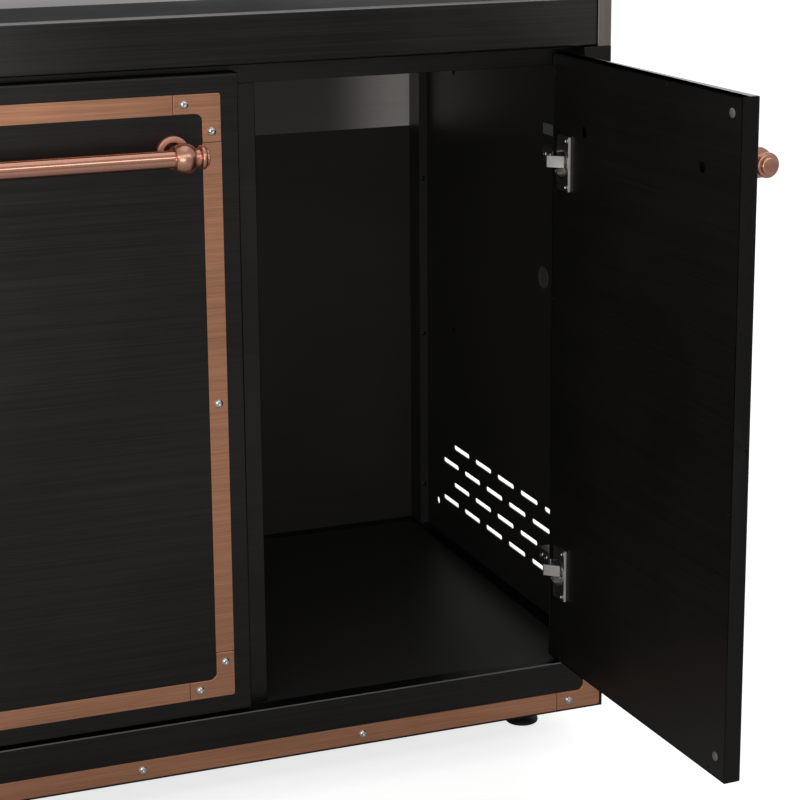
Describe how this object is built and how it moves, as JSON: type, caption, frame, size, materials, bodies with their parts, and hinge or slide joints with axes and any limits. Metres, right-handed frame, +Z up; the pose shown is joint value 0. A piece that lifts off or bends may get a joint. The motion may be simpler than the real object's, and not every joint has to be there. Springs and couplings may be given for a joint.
{
  "type": "outdoor kitchen island",
  "caption": "Outdoor kitchen island: black steel cabinet with copper-trimmed hinged doors, bar handles, vented sides, a brushed worktop and levelling feet.",
  "frame": {"origin": "on the ground, in the middle of the island's box in X and Y, with the right door open at 92 degrees and the left door shut", "axes": "+X to the right along the front, +Y to the back, +Z up"},
  "size_m": [0.9056, 0.9792, 0.9],
  "materials": {
    "black_steel": "brushed black",
    "black_sheet": "satin black",
    "stainless": "brushed",
    "satin_trim": "satin",
    "copper": "brushed copper",
    "nickel": "nickel plated",
    "rubber": "matt",
    "black_plastic": "matt",
    "board": "raw board"
  },
  "bodies": {
    "cabinet": {"base_frame": "black_steel", "front_post_left": "black_steel", "front_post_right": "black_steel", "centre_stile": "black_steel", "front_header": "black_steel", "fascia": "black_steel", "back_apron": "black_steel", "worktop_frame": "black_steel", "floor_pan": "black_sheet", "rear_post_left": "black_sheet", "rear_post_right": "black_sheet", "side_panel_left": "black_sheet", "side_panel_right": "black_sheet", "back_panel_lower": "black_sheet", "rear_header": "black_sheet", "back_panel_upper": "stainless", "worktop_inlay": "stainless", "worktop_bearers": "stainless", "end_trim_left": "satin_trim", "end_trim_right": "satin_trim", "base_strip": "copper", "base_bracket_left": "copper", "base_bracket_right": "copper", "post_strip_left": "copper", "post_strip_right": "copper", "levelling_foot_front_left": "nickel", "levelling_foot_back_left": "nickel", "levelling_foot_front_right": "nickel", "levelling_foot_back_right": "nickel", "hinge_arm_left_low": "nickel", "hinge_arm_left_high": "nickel", "hinge_arm_right_low": "nickel", "hinge_arm_right_high": "nickel", "hinge_pin_left_low": "nickel", "hinge_pin_left_high": "nickel", "hinge_pin_right_low": "nickel", "hinge_pin_right_high": "nickel", "cable_grommet": "black_plastic", "worktop_core": "board"},
    "left_door": {"door_shell_left": "black_steel", "door_liner_left": "black_sheet", "copper_frame_left": "copper", "handle_bar_left": "copper", "handle_bracket_left_a": "copper", "handle_bracket_left_b": "copper", "hinge_cup_left_low": "nickel", "hinge_cup_left_high": "nickel", "door_bumper_left_low": "rubber", "door_bumper_left_high": "rubber"},
    "right_door": {"door_shell_right": "black_steel", "door_liner_right": "black_sheet", "copper_frame_right": "copper", "handle_bar_right": "copper", "handle_bracket_right_a": "copper", "handle_bracket_right_b": "copper", "hinge_cup_right_low": "nickel", "hinge_cup_right_high": "nickel", "door_bumper_right_low": "rubber", "door_bumper_right_high": "rubber"}
  },
  "joints": [
    {"name": "right_door_hinge", "type": "hinge", "parent": "cabinet", "child": "right_door", "pos_m": [0.3732, -0.10241, 0.473], "axis": [0, 0, 1], "range_deg": [-92, 0]},
    {"name": "left_door_hinge", "type": "hinge", "parent": "cabinet", "child": "left_door", "pos_m": [-0.4038, -0.10241, 0.473], "axis": [0, 0, -1], "range_deg": [0, 92]}
  ]
}
